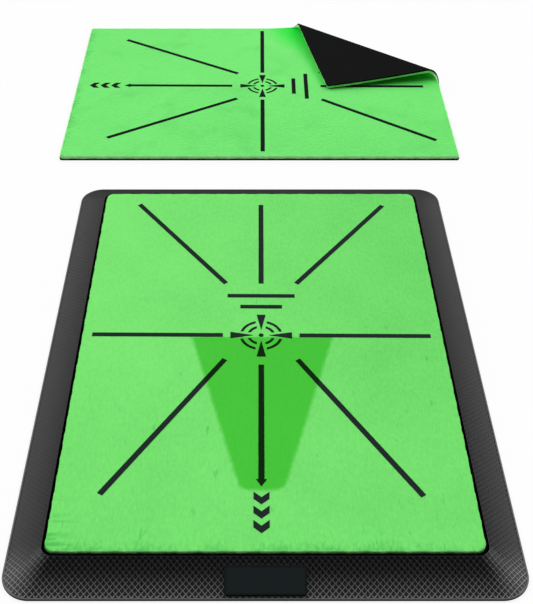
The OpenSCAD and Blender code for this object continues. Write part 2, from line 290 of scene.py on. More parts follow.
class Graph:
    """A node tree that is being built."""

    def __init__(self, tree):
        self.tree = tree

    def node(self, kind, settings=None, inputs=None, output=0):
        """Adds a node: its settings first, then the values or links of its sockets."""
        made = self.tree.nodes.new(kind)
        for name, value in (settings or {}).items():
            setattr(made, name, value)
        for key, value in (inputs or {}).items():
            for part in value if isinstance(value, list) else [value]:
                if isinstance(part, Value):
                    self.tree.links.new(part.socket, made.inputs[key])
                else:
                    made.inputs[key].default_value = part
        if output is None:
            return made
        return Value(self, made.outputs[output])

    def outputs(self, *details):
        """Adds a node and gives all its outputs by name."""
        made = self.node(*details, output=None)
        return {socket.name: Value(self, socket) for socket in made.outputs}

    def maths(self, operation, *values):
        return self.node("ShaderNodeMath", {"operation": operation}, dict(enumerate(values)))

    def smooth(self, value, low, high):
        """0 at low, 1 at high, and an S curve between."""
        return self.node("ShaderNodeMapRange", {"interpolation_type": "SMOOTHSTEP"},
                         {"Value": value, "From Min": low, "From Max": high})

    def parts(self, vector):
        """The three numbers of a vector."""
        made = self.node("ShaderNodeSeparateXYZ", inputs={0: vector}, output=None)
        return [Value(self, socket) for socket in made.outputs]

    def vector(self, x, y, z):
        return self.node("ShaderNodeCombineXYZ", inputs={0: x, 1: y, 2: z})

    def choose(self, test, yes, no):
        """yes where test is 1, and no where it is 0."""
        return test * yes + (1 - test) * no


class Shade(Graph):
    """A material's tree, with its Principled shader and its output."""

    def __init__(self, name, roughness=0.6, follow=None, **constants):
        self.material = bpy.data.materials.new(name)
        self.material.use_nodes = True
        super().__init__(self.material.node_tree)
        self.shader = self.tree.nodes["Principled BSDF"]
        self.shader.inputs["Roughness"].default_value = roughness
        for socket, value in constants.items():
            self.shader.inputs[socket.replace("_", " ")].default_value = value
        if follow:
            self.place = self.node("ShaderNodeAttribute", {"attribute_name": follow}, output="Vector")
        else:
            self.place = self.node("ShaderNodeTexCoord", output="Object")

    def attribute(self, name):
        """A number kept on the mesh."""
        return self.node("ShaderNodeAttribute", {"attribute_name": name}, output="Fac")

    def noise(self, scale, detail=2.0, stretch=(1, 1, 1)):
        """Noise with about scale features to the metre, stretched along its axes."""
        place = self.node("ShaderNodeMapping", inputs={
            "Vector": self.place, "Scale": [[scale / s for s in stretch]]})
        return self.node("ShaderNodeTexNoise", inputs={"Vector": place, "Scale": 1.0, "Detail": detail})

    def blend(self, factor, a, b):
        """Mixes two colours."""
        a, b = (c if isinstance(c, Value) else (*c, 1) for c in (a, b))
        return self.node("ShaderNodeMix", {"data_type": "RGBA"}, {0: factor, 6: a, 7: b}, output=2)

    def bump(self, height, depth):
        made = self.node("ShaderNodeBump", inputs={"Height": height, "Distance": depth})
        self.feed("Normal", made)

    def feed(self, socket, value):
        self.tree.links.new(value.socket, self.shader.inputs[socket])


def scaled(tint, factor):
    """A colour made darker or lighter."""
    return [channel * factor for channel in tint]


def dark_finish(name, tint, spread, roughness, grain=900, **constants):
    """A dark moulded or woven surface with a fine grain."""
    shade = Shade(name, **constants)
    fine = shade.noise(grain, 3)
    broad = shade.noise(40, 2)
    mottle = broad * 0.6 + fine * 0.4
    shade.feed("Base Color", shade.blend(mottle, scaled(tint, 1 - spread), scaled(tint, 1 + spread)))
    shade.feed("Roughness", fine * 0.14 + (roughness - 0.07))
    shade.bump(fine, 0.04 * MM)
    return shade.material


def net_rubber(name, tray):
    """Moulded rubber with a raised net. Its ridges are glossy and, low on the near slope by the lip,
    painted lighter as painted light; its pits stay dull and are painted darker as painted shade."""
    shade = Shade(name, roughness=0.45, Specular_IOR_Level=0.12, Coat_Roughness=0.18, Coat_IOR=1.65)
    y, z = shade.parts(shade.place)[1:]
    pit = shade.attribute("pit")
    fine = shade.noise(1400, 2)
    depth = shade.smooth(pit + (fine - 0.5) * 0.15, 0.05, 0.6)
    # Painted light: ridges and pits are painted lighter low on the near slope, towards the lip.
    near_light = shade.smooth(y + TRAY_L / 2, tray.near_light_from, tray.near_light_full)
    painted_light = shade.smooth(z + (fine - 0.5) * 2 * MM, TRAY_H * 0.7, tray.lip) * near_light
    ridge = shade.blend(painted_light, tray.ridge_colour, tray.painted_light_ridge_colour)
    # Painted shade: the pits are painted darker than the ridges.
    pit = shade.blend(painted_light, scaled(tray.ridge_colour, 0.3), scaled(tray.painted_light_ridge_colour, 0.08))
    shade.feed("Base Color", shade.blend(depth, ridge, pit))
    polish = near_light * (1 - tray.polish) + tray.polish
    shade.feed("Coat Weight", polish - depth * (polish - tray.pit_polish))
    shade.bump(fine, 0.02 * MM)
    return shade.material


def rim_rubber(name, tray):
    """Smooth moulded rubber, with a painted highlight on the ledge of the tray's lip."""
    shade = Shade(name, roughness=0.38)
    z = shade.parts(shade.place)[2]
    fine = shade.noise(900, 3)
    # Painted highlight: the ledge on top of the lip is painted lighter.
    painted_light = shade.smooth(abs(z - tray.lip) + (fine - 0.5) * 0.1 * MM, 0.3 * MM, 0.1 * MM)
    shade.feed("Base Color", shade.blend(painted_light, tray.rubber_colour, tray.ledge_highlight_colour))
    shade.bump(fine, 0.03 * MM)
    return shade.material


def plate_finish(name, tray):
    """The badge's plain plate with its raised frame painted darker, a painted shadow along the plate's
    edge.
    """
    shade = Shade(name, roughness=0.5, Specular_IOR_Level=0.15)
    low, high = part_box("badge_plate")
    x, y = shade.parts(shade.place)[:2]
    in_x = high[0] - tray.badge_frame - abs(x)
    in_y = ((high[1] - low[1]) / 2 - tray.badge_frame) - abs(y - (low[1] + high[1]) / 2)
    # Painted shadow: the frame round the plate is painted at half the badge's colour.
    plain = shade.smooth(in_x.least(in_y), -0.1 * MM, 0.1 * MM)
    shade.feed("Base Color", shade.blend(plain, scaled(tray.badge_colour, 0.5), tray.badge_colour))
    shade.bump(shade.noise(1600, 3), 0.01 * MM)
    return shade.material


def brushed_patch(shade, pile, x, y, wander):
    """1 on the patch that the club strokes from the target to the chevrons, and 0 around it."""
    along = (pile.brushed_start - y) / (pile.brushed_start - pile.brushed_end)
    half = along * (pile.brushed_near - pile.brushed_far) + pile.brushed_far
    soft = pile.brushed_soft / 2
    from_side = half - abs(x - along * pile.brushed_aside)
    from_end = y - pile.brushed_end
    corner = pile.brushed_corner
    round_side = (corner - from_side).most(0)
    round_end = (corner - from_end).most(0)
    rounded = corner - (round_side * round_side + round_end * round_end).root()
    inside = shade.smooth(rounded + wander, -soft, soft)
    return inside * shade.smooth(pile.brushed_start - y + wander, -soft / 2, soft / 2)


def flap_shadow(shade, fold, x, y, wander):
    """How much painted shadow of the flap the pile gets beside and under the flap, most where the mat
    curls up.
    """
    along, across = fold.flap_side()
    from_far = x - float(fold.start[0])
    from_fold = y - float(fold.start[1])
    down = from_far * float(along[0]) + from_fold * float(along[1])
    away = from_far * float(across[0]) + from_fold * float(across[1]) + wander
    curl = shade.smooth(down, 95 * MM, 5 * MM)
    band = curl * 30 * MM + 10 * MM
    near_bend = shade.smooth(x + wander, 12 * MM, -14 * MM)
    return shade.smooth(away / band, 1.0, -0.2) * (curl * 0.6 + 0.4) * near_bend


def velvet(name, pile, fold=None):
    """Short dense pile with fine streaks along its nap, pressed along its near edge. The played mat has
    flecks, a combed corner and the patch that the club has stroked. The spare mat, which comes with its
    fold, is lighter and softly mottled, and painted deep in colour as painted shade in the bend and as
    the flap's painted shadow beside and under it."""
    shade = Shade(name, roughness=0.85, follow="flat", Specular_IOR_Level=0.12)
    x, y = shade.parts(shade.place)[:2]
    strand = shade.attribute("strand")
    streaks = shade.noise(900, 2, stretch=(1, 4, 1))
    tufts = shade.noise(420, 3, stretch=(1, 2.2, 1))
    drift = shade.noise(14, 3)
    lie = (streaks - 0.5) * 0.8 + (tufts - 0.5) * 1.1 + (drift - 0.5) * 1.2 + strand * 0.35
    lie = lie + x * 3 * shade.smooth(y, -0.15, 0.0)
    tone = shade.blend(shade.smooth(lie, -1.2, 1.4), pile.bright, pile.deep)
    wander = (tufts - 0.5) * 2 * MM

    from_near = y + MAT_L / 2
    patches = shade.noise(30, 3, stretch=(1, 3, 1))
    ragged = (tufts - 0.5) * 1.2 + (patches - 0.5) * 2.4 + (streaks - 0.5) * 0.8
    near_edge = 1 - from_near / pile.pressed_band
    pressed = shade.smooth(near_edge + ragged, 0.3, 1.9) * shade.smooth(near_edge, 0.0, 0.6)

    if fold is None:
        fleck = shade.smooth(shade.noise(190, 2, stretch=(1, 3.5, 1)), 0.66, 0.8)
        pressed = pressed.most(fleck * shade.smooth(from_near, 0.5, 0.1) * 0.5)
        combed = shade.smooth(shade.noise(170, 3, stretch=(5, 1, 1)), 0.5, 0.75)
        from_left = x + MAT_W / 2
        in_corner = shade.smooth(from_left, 30 * MM, 0.0) * shade.smooth(from_near, 60 * MM, 10 * MM)
        flat = shade.blend(shade.smooth(lie, -1.6, 1.6),
                           scaled(pile.brushed, 1.06), scaled(pile.brushed, 0.92))
        # Painted highlight along the near cut edge of the mat in the tray.
        rim = shade.smooth(from_near, pile.rim_from, pile.rim_full) * 0.5
        layers = ((pressed, pile.pressed), (combed * in_corner * 0.8, pile.pressed),
                  (brushed_patch(shade, pile, x, y, wander), flat), (rim, pile.edge_highlight))
    else:
        pressed = pressed.most(shade.smooth(shade.noise(24, 3), 0.48, 0.78) * 0.2)
        # Painted shade: the pile is painted deep green in the bend, and as the flap's shadow beside and
        # under it.
        bend = shade.smooth(shade.attribute("bent"), 0.03, 0.6)
        deep = bend.most(flap_shadow(shade, fold, x, y, wander * 2))
        from_edge = (MAT_W / 2 - abs(x)).least(MAT_L / 2 - abs(y))
        # Painted highlight along all the cut edges of the spare mat.
        rim = shade.smooth(from_edge, pile.rim_from, pile.rim_full)
        layers = ((pile.unplayed_share, pile.unplayed), (pressed, pile.pressed),
                  (deep, pile.inside), (rim, pile.edge_highlight))
    for cover, tint in layers:
        tone = shade.blend(cover, tone, tint)
    shade.feed("Base Color", tone)
    shade.bump(streaks * 0.5 + tufts * 0.8, 0.25 * MM)
    return shade.material


def printed_pile(name, pile, marking, stroked):
    """Pile dyed nearly black by the print."""
    shade = Shade(name, roughness=0.9, follow="flat", Specular_IOR_Level=0.06)
    streaks = shade.noise(900, 2, stretch=(1, 4, 1))
    if stroked:
        x, y = shade.parts(shade.place)[:2]
        tone = shade.blend(brushed_patch(shade, pile, x, y, 0.0), marking.ink, marking.brushed_ink)
    else:
        tone = shade.blend(streaks, scaled(marking.ink, 0.36), scaled(marking.ink, 0.54))
    shade.feed("Base Color", tone)
    shade.bump(streaks, 0.15 * MM)
    return shade.material


# ---------- Geometry Nodes ----------

class Grower(Graph):
    """A Geometry Nodes tree that adds what repeats to a mesh, or makes it from nothing."""

    def __init__(self, name):
        tree = bpy.data.node_groups.new(name, "GeometryNodeTree")
        tree.interface.new_socket("Geometry", in_out="INPUT", socket_type="NodeSocketGeometry")
        tree.interface.new_socket("Geometry", in_out="OUTPUT", socket_type="NodeSocketGeometry")
        super().__init__(tree)
        self.entry = tree.nodes.new("NodeGroupInput")
        self.values = {}
        self.source = Value(self, self.entry.outputs[0])
        self.position = self.node("GeometryNodeInputPosition")

    def size(self, name, value):
        """A named input of the tree, and the value that it gets."""
        socket = self.tree.interface.new_socket(name, in_out="INPUT", socket_type="NodeSocketFloat")
        self.values[socket.identifier] = value
        return Value(self, self.entry.outputs[name])

    def random(self, low, high, seed):
        return self.node("FunctionNodeRandomValue", {"data_type": "FLOAT"},
                         {2: low, 3: high, "Seed": seed}, output=1)

    def store(self, geometry, name, value, where=True):
        """Keeps a number on the points as a named attribute."""
        return self.node("GeometryNodeStoreNamedAttribute", {"data_type": "FLOAT", "domain": "POINT"}, {
            "Geometry": geometry, "Selection": where, "Name": name, "Value": value})

    def recall(self, name):
        return self.node("GeometryNodeInputNamedAttribute", {"data_type": "FLOAT"}, {"Name": name})

    def grid(self, width, length, columns, rows):
        return self.node("GeometryNodeMeshGrid", inputs={
            "Size X": width, "Size Y": length, "Vertices X": columns, "Vertices Y": rows})

    def moved(self, geometry, position):
        return self.node("GeometryNodeSetPosition", inputs={"Geometry": geometry, "Position": position})

    def turned(self, geometry, **inputs):
        return self.node("GeometryNodeTransform", inputs={"Geometry": geometry, **inputs})

    def drop(self, geometry, where, domain="POINT"):
        return self.node("GeometryNodeDeleteGeometry", {"domain": domain},
                         {"Geometry": geometry, "Selection": where})

    def copies(self, points, shape, rotation=None, scale=None):
        inputs = {"Points": points, "Instance": shape}
        if rotation is not None:
            inputs["Rotation"] = rotation
        if scale is not None:
            inputs["Scale"] = scale
        return self.node("GeometryNodeInstanceOnPoints", inputs=inputs)

    def join(self, *geometries):
        return self.node("GeometryNodeJoinGeometry", inputs={0: list(geometries)})

    def grow(self, geometry, material, mesh=None):
        """Ends the tree with real geometry in one material, and returns its result as a plain mesh."""
        solid = self.node("GeometryNodeRealizeInstances", inputs={0: geometry})
        done = self.node("GeometryNodeSetMaterial", inputs={"Geometry": solid, "Material": material})
        leave = self.tree.nodes.new("NodeGroupOutput")
        self.tree.links.new(done.socket, leave.inputs[0])
        host = bpy.data.objects.new(self.tree.name, mesh or bpy.data.meshes.new(self.tree.name))
        bpy.context.collection.objects.link(host)
        modifier = host.modifiers.new("grow", "NODES")
        modifier.node_group = self.tree
        for identifier, value in self.values.items():
            modifier[identifier] = value
        graph = bpy.context.evaluated_depsgraph_get()
        grown = bpy.data.meshes.new_from_object(host.evaluated_get(graph), depsgraph=graph)
        host.modifiers.remove(modifier)
        bpy.data.objects.remove(host)
        if not len(grown.polygons):
            raise RuntimeError(f"{self.tree.name} grew nothing")
        return grown


def diamond_net(tray, material):
    """The net of ridges on the tray's bevel: a slanting grid, its cells sunk into pits."""
    tree = Grower("diamond_net")
    half_w = tree.size("Half width", TRAY_W / 2 - tray.ledge)
    half_l = tree.size("Half length", TRAY_L / 2 - tray.ledge)
    run = tree.size("Bevel run", bevel_run(tray))
    foot = tree.size("Foot height", tray.lip)
    rise = tree.size("Bevel rise", TRAY_H - tray.lip)
    outer = tree.size("Foot radius", tray.outer_radius - tray.ledge)
    inner = tree.size("Crest radius", tray.inner_radius + tray.crest)
    sag = tree.size("Sag", tray.sag)
    depth = tree.size("Depth", tray.net_depth)
    shoulder_share = tree.size("Shoulder share", tray.shoulder_share)
    shoulder_drop = tree.size("Shoulder drop", tray.shoulder_drop)
    pit_share = tree.size("Pit share", tray.pit_share / tray.shoulder_share)
    cells = int((TRAY_W + TRAY_L) / math.sqrt(2) / tray.net_pitch) + 2
    side = cells * tray.net_pitch

    grid = tree.grid(side, side, cells + 1, cells + 1)
    slanted = tree.turned(grid, Rotation=(0, 0, math.pi / 4))

    x, y = tree.parts(tree.position)[:2]
    far_x = abs(x)
    far_y = abs(y)
    a = far_x - half_w + outer
    b = far_y - half_l + outer
    shift = run + inner - outer
    shrink = outer - inner
    square = shift * shift * 2 - shrink * shrink
    middle = shift * (a + b) + outer * shrink
    rest = a * a + b * b - outer * outer
    round_t = ((middle * middle - square * rest).root() - middle) / square
    straight_t = (half_w - far_x).least(half_l - far_y) / run
    in_corner = (a + shift * round_t).least(b + shift * round_t) > 0
    t = tree.choose(in_corner, round_t, straight_t)
    held = t.most(0).least(1)
    off = (t < 0).most(t > 1)

    every_corner = tree.node("GeometryNodeFieldOnDomain", {"data_type": "FLOAT", "domain": "POINT"},
                             {0: off})
    ring = tree.drop(slanted, every_corner > 0.99, "FACE")
    cut = tree.outputs("GeometryNodeExtrudeMesh", None, {
        "Mesh": ring, "Offset Scale": 0.0, "Individual": True})
    ridges = tree.node("GeometryNodeScaleElements", inputs={
        "Geometry": cut["Mesh"], "Selection": cut["Top"], "Scale": shoulder_share})
    ridges = tree.store(ridges, "pit", shoulder_drop, cut["Top"])
    sunk = tree.outputs("GeometryNodeExtrudeMesh", None, {
        "Mesh": ridges, "Selection": cut["Top"], "Offset Scale": 0.0, "Individual": True})
    pits = tree.node("GeometryNodeScaleElements", inputs={
        "Geometry": sunk["Mesh"], "Selection": sunk["Top"], "Scale": pit_share})
    pits = tree.store(pits, "pit", 1.0, sunk["Top"])

    radius = outer - shrink * t
    centre_x = half_w - run * t - radius
    centre_y = half_l - run * t - radius
    held_radius = outer - shrink * held
    corner_x = half_w - run * held - held_radius + (far_x - centre_x) / radius * held_radius
    corner_y = half_l - run * held - held_radius + (far_y - centre_y) / radius * held_radius
    on_x = (half_w - far_x) < (half_l - far_y)
    side_x = tree.choose(on_x, half_w - run * held, far_x)
    side_y = tree.choose(on_x, far_y, half_l - run * held)
    plan_x = tree.choose(in_corner, corner_x, side_x) * x.sign()
    plan_y = tree.choose(in_corner, corner_y, side_y) * y.sign()
    bevel = foot + rise * held - sag * 4 * held * (1 - held)
    draped = tree.moved(pits, tree.vector(plan_x, plan_y, bevel - tree.recall("pit") * depth))
    smooth = tree.node("GeometryNodeSetShadeSmooth", inputs={"Geometry": draped})
    floors = tree.node("GeometryNodeSetShadeSmooth", inputs={
        "Geometry": smooth, "Selection": sunk["Top"], "Shade Smooth": False})
    return tree.grow(floors, material)


def scattered_tufts(tree, source, density, pile, seed):
    """Points on the upper faces of a mesh, and for each the rotation of its tuft, the place of the
    tuft's tip and the tuft's scale."""
    long = tree.size("Tuft length", pile.tuft_length)
    rise = tree.size("Tuft rise", pile.tuft_rise)
    facing = tree.parts(tree.node("GeometryNodeInputNormal"))[2] > -0.3
    made = tree.outputs("GeometryNodeDistributePointsOnFaces", None, {
        "Mesh": source, "Selection": facing, "Density": density, "Seed": seed})
    normal = tree.parts(made["Normal"])
    lean = (tree.random(-0.5, 0.5, seed + 1), tree.random(-1.0, -0.7, seed + 2), 0)
    aim = [n * rise + way for n, way in zip(normal, lean)]
    spread = tree.random(0.7, 1.15, seed + 3)
    tip = tree.vector(*[p + d * long for p, d in zip(tree.parts(tree.position), aim)])
    rotation = tree.node("FunctionNodeAlignRotationToVector", {"axis": "Z"},
                         {"Vector": tree.vector(*aim)})
    return made["Points"], rotation, tip, spread


def tuft_shape(tree, pile):
    """A slender three-sided tuft."""
    return tree.node("GeometryNodeMeshCone", {"fill_type": "NGON"}, {
        "Vertices": 3, "Side Segments": 1, "Radius Top": 0.0,
        "Radius Bottom": tree.size("Tuft width", pile.tuft_width) * 0.5,
        "Depth": tree.size("Tuft depth", pile.tuft_length)})


def under(tree, target, place, reach=20 * MM):
    """1 where a ray straight down meets the target near that place, and 0 elsewhere."""
    raised = (0, 0, reach / 2)
    above = tree.vector(*[p + up for p, up in zip(tree.parts(place), raised)])
    return tree.node("GeometryNodeRaycast", inputs={
        "Target Geometry": target, "Source Position": above,
        "Ray Direction": (0, 0, -1), "Ray Length": reach})


def pile_tufts(slab, marks, pile, seed, material):
    """Tufts all over a slab of pile, except where a mark is printed."""
    tree = Grower("pile_tufts")
    density = tree.size("Density", pile.tufts)
    printed = tree.node("GeometryNodeObjectInfo", {"transform_space": "RELATIVE"}, {"Object": marks},
                        output="Geometry")
    points, rotation, tip, spread = scattered_tufts(tree, tree.source, density, pile, seed)
    free = tree.drop(points, under(tree, printed, tree.position).most(under(tree, printed, tip)))
    toned = tree.store(free, "strand", tree.random(-1.0, 1.0, seed + 4))
    tufts = tree.copies(toned, tuft_shape(tree, pile), rotation, tree.vector(spread, spread, spread))
    return tree.grow(tufts, material, slab)


def printed_mark(film, pile, marking, seed, material):
    """A printed mark's film with dyed tufts all over it."""
    tree = Grower("printed_mark")
    density = tree.size("Density", marking.tufts)
    points, rotation, tip, spread = scattered_tufts(tree, tree.source, density, pile, seed)
    inside = tree.drop(points, 1 - under(tree, tree.source, tip))
    scale = spread * 0.7
    tufts = tree.copies(inside, tuft_shape(tree, pile), rotation, tree.vector(scale, scale, scale))
    return tree.grow(tree.join(tree.source, tufts), material, film)


def studded_sheet(sheet, fitting, half_w, half_l, material):
    """The grip sheet with its staggered round studs underneath."""
    tree = Grower("studded_sheet")
    pitch = tree.size("Pitch", fitting.stud_pitch)
    radius = tree.size("Stud radius", fitting.stud_radius)
    height = tree.size("Stud height", fitting.stud_height)
    margin = fitting.stud_margin + fitting.stud_radius
    rows = int(2 * (half_l - margin) / (fitting.stud_pitch * math.sqrt(3) / 2))
    columns = int(2 * (half_w - margin) / fitting.stud_pitch)
    grid = tree.grid(columns - 1, rows - 1, columns, rows)
    x, y = tree.parts(tree.position)[:2]
    odd = tree.maths("PINGPONG", y + (rows - 1) / 2, 1.0)
    place = tree.vector((x + (odd - 0.5) * 0.5) * pitch, y * pitch * (math.sqrt(3) / 2), height)
    laid = tree.moved(grid, place)
    stud = tree.node("GeometryNodeMeshCone", {"fill_type": "NGON"}, {
        "Vertices": 12, "Radius Top": radius * fitting.stud_top, "Radius Bottom": radius,
        "Depth": height})
    hanging = tree.turned(stud, Rotation=(math.pi, 0, 0))
    return tree.grow(tree.join(tree.source, tree.copies(laid, hanging)), material, sheet)


def strip_pile(base, box, fitting, height, sweep, material, down=False):
    """A fastening strip's base with rows of hooks or loops: arcs of strand on a grid."""
    tree = Grower("strip_pile")
    pitch = tree.size("Pitch", fitting.hook_pitch)
    radius = tree.size("Bend radius", fitting.hook_radius)
    strand = tree.size("Strand", fitting.strand)
    upright = -1 if down else 1
    tall = tree.size("Height", (height - fitting.strand / 2) * upright)
    low, high = box
    columns = int((high[0] - low[0]) / fitting.hook_pitch)
    rows = int((high[1] - low[1]) / fitting.hook_pitch)
    grid = tree.grid(columns - 1, rows - 1, columns, rows)
    x, y = tree.parts(tree.position)[:2]
    foot = (low[2] + height) if down else (high[2] - height)
    middle = (low + high) / 2
    laid = tree.moved(grid, tree.vector(
        x * pitch + float(middle[0]), y * pitch + float(middle[1]), float(foot)))
    arc = tree.node("GeometryNodeCurveArc", {"mode": "RADIUS"}, {
        "Resolution": 7, "Radius": 1.0, "Start Angle": math.pi, "Sweep Angle": -sweep})
    standing = tree.turned(arc, Rotation=(math.pi / 2, 0, 0))
    sized = tree.turned(standing, Scale=tree.vector(radius, 1.0, tall))
    ring = tree.node("GeometryNodeCurvePrimitiveCircle", {"mode": "RADIUS"}, {
        "Resolution": 3, "Radius": strand * 0.5})
    hook = tree.node("GeometryNodeCurveToMesh", inputs={
        "Curve": sized, "Profile Curve": ring, "Fill Caps": True})
    turn = tree.node("FunctionNodeAxisAngleToRotation", inputs={
        "Axis": (0, 0, 1), "Angle": tree.random(-0.9, 0.9, 5)})
    return tree.grow(tree.join(tree.source, tree.copies(laid, hook, turn)), material, base)


# ---------- meshes ----------

def dress(mesh, *finishes):
    """Gives a mesh its materials, by name."""
    mesh.materials.clear()
    for finish in finishes:
        mesh.materials.append(bpy.data.materials[finish])


def add_piece(name, mesh, body, stands_for=()):
    """Links a finished mesh as a piece that rides on a CAD body."""
    mesh.name = name
    made = bpy.data.objects.new(name, mesh)
    bpy.context.collection.objects.link(made)
    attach(made, body)
    if stands_for:
        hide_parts(*stands_for)
    return made


def rounded_ring(half_w, half_l, radius, z, steps=16):
    """Points of a rounded rectangle, anticlockwise seen from above."""
    points = []
    for quarter, (sx, sy) in enumerate(((1, 1), (-1, 1), (-1, -1), (1, -1))):
        for i in range(steps + 1):
            turn = math.pi / 2 * (quarter + i / steps)
            points.append((sx * (half_w - radius) + radius * math.cos(turn),
                           sy * (half_l - radius) + radius * math.sin(turn), z))
    return points


def loft(rings):
    """A closed mesh through rings of equal length, with a flat cap at each end."""
    made = bmesh.new()
    loops = [[made.verts.new(p) for p in ring] for ring in rings]
    for low, high in zip(loops, loops[1:]):
        for i in range(len(low)):
            j = (i + 1) % len(low)
            made.faces.new((low[i], low[j], high[j], high[i]))
    made.faces.new(list(reversed(loops[0])))
    made.faces.new(loops[-1])
    return made


def to_mesh(made, name, sharp=None):
    """A mesh from a bmesh, smooth except at edges sharper than an angle."""
    bmesh.ops.recalc_face_normals(made, faces=made.faces)
    mesh = bpy.data.meshes.new(name)
    made.to_mesh(mesh)
    made.free()
    if sharp is not None:
        mesh.polygons.foreach_set("use_smooth", [True] * len(mesh.polygons))
        mesh.set_sharp_from_angle(angle=sharp)
    return mesh


def carve(mesh, cutters):
    """Cuts closed meshes out of a mesh."""
    host = bpy.data.objects.new("carved", mesh)
    bpy.context.collection.objects.link(host)
    helpers = []
    for cutter in cutters:
        helper = bpy.data.objects.new("cutter", cutter)
        bpy.context.collection.objects.link(helper)
        helpers.append(helper)
        modifier = host.modifiers.new("cut", "BOOLEAN")
        modifier.operation = "DIFFERENCE"
        modifier.solver = "EXACT"
        modifier.object = helper
    graph = bpy.context.evaluated_depsgraph_get()
    result = bpy.data.meshes.new_from_object(host.evaluated_get(graph), depsgraph=graph)
    for helper in helpers + [host]:
        bpy.data.objects.remove(helper)
    return result


def block(low, high):
    """A plain box, for cutting with or for a strip's base."""
    made = bmesh.new()
    bmesh.ops.create_cube(made, size=1)
    low, high = Vector(low), Vector(high)
    placed = Matrix.LocRotScale((low + high) / 2, None, high - low)
    bmesh.ops.transform(made, matrix=placed, verts=made.verts)
    return to_mesh(made, "block")


def bevel_run(tray):
    """Width of the bevel between the ledge and the crest."""
    return (TRAY_W - MAT_W) / 2 - tray.gap - tray.crest - tray.ledge


def tray_mesh(tray):
    """The moulded tray as one closed shell, its edges rounded and the net's field let in."""
    run = bevel_run(tray)
    outer = tray.outer_radius
    inner = tray.inner_radius
    crest_radius = inner + tray.crest
    soft = 0.3 * MM
    round_1, round_2 = 0.15 * MM, 0.5 * MM
    under_net = tray.net_depth + 0.05 * MM

    def ring(inset, z, radius=None):
        corner = outer - inset if radius is None else radius
        return rounded_ring(TRAY_W / 2 - inset, TRAY_L / 2 - inset, corner, z)

    def bevel_ring(t, sink=0.0):
        foot_radius = outer - tray.ledge
        z = tray.lip + (TRAY_H - tray.lip) * t - tray.sag * 4 * t * (1 - t)
        return ring(tray.ledge + run * t, z - sink, foot_radius + (crest_radius - foot_radius) * t)

    rings = [ring(soft, 0), ring(round_1, round_1), ring(0, soft), ring(0, tray.lip - round_2),
             ring(round_1, tray.lip - round_1), ring(round_2, tray.lip),
             ring(tray.ledge - 0.1 * MM, tray.lip), bevel_ring(0)]
    rings += [bevel_ring(t, under_net) for t in np.linspace(0.004, 0.996, 9)]
    wall = tray.ledge + run + tray.crest
    rings += [bevel_ring(1), ring(wall - round_2, TRAY_H, inner + round_2),
              ring(wall - round_1 / 2, TRAY_H - round_1, inner + round_1 / 2),
              ring(wall, TRAY_H - soft, inner), ring(wall, MAT_FOOT, inner)]
    return to_mesh(loft(rings), "tray_shell", sharp=math.radians(40))


def strip_boxes(node):
    """The boxes of a node's two strips, left and right of the middle."""
    points = np.array([v.co[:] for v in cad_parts[node].data.vertices])
    strips = (points[points[:, 0] < 0], points[points[:, 0] > 0])
    return [(strip.min(axis=0), strip.max(axis=0)) for strip in strips]


def stations(half, radius, step, corner_steps=4):
    """Places of the mesh lines along one side, closer together at the rounded corners."""
    count = max(2, round(2 * (half - radius) / step))
    middle = np.linspace(-(half - radius), half - radius, count + 1)
    corner = half - radius + radius * np.arange(1, corner_steps + 1) / corner_steps
    return np.concatenate([-corner[::-1], middle, corner])


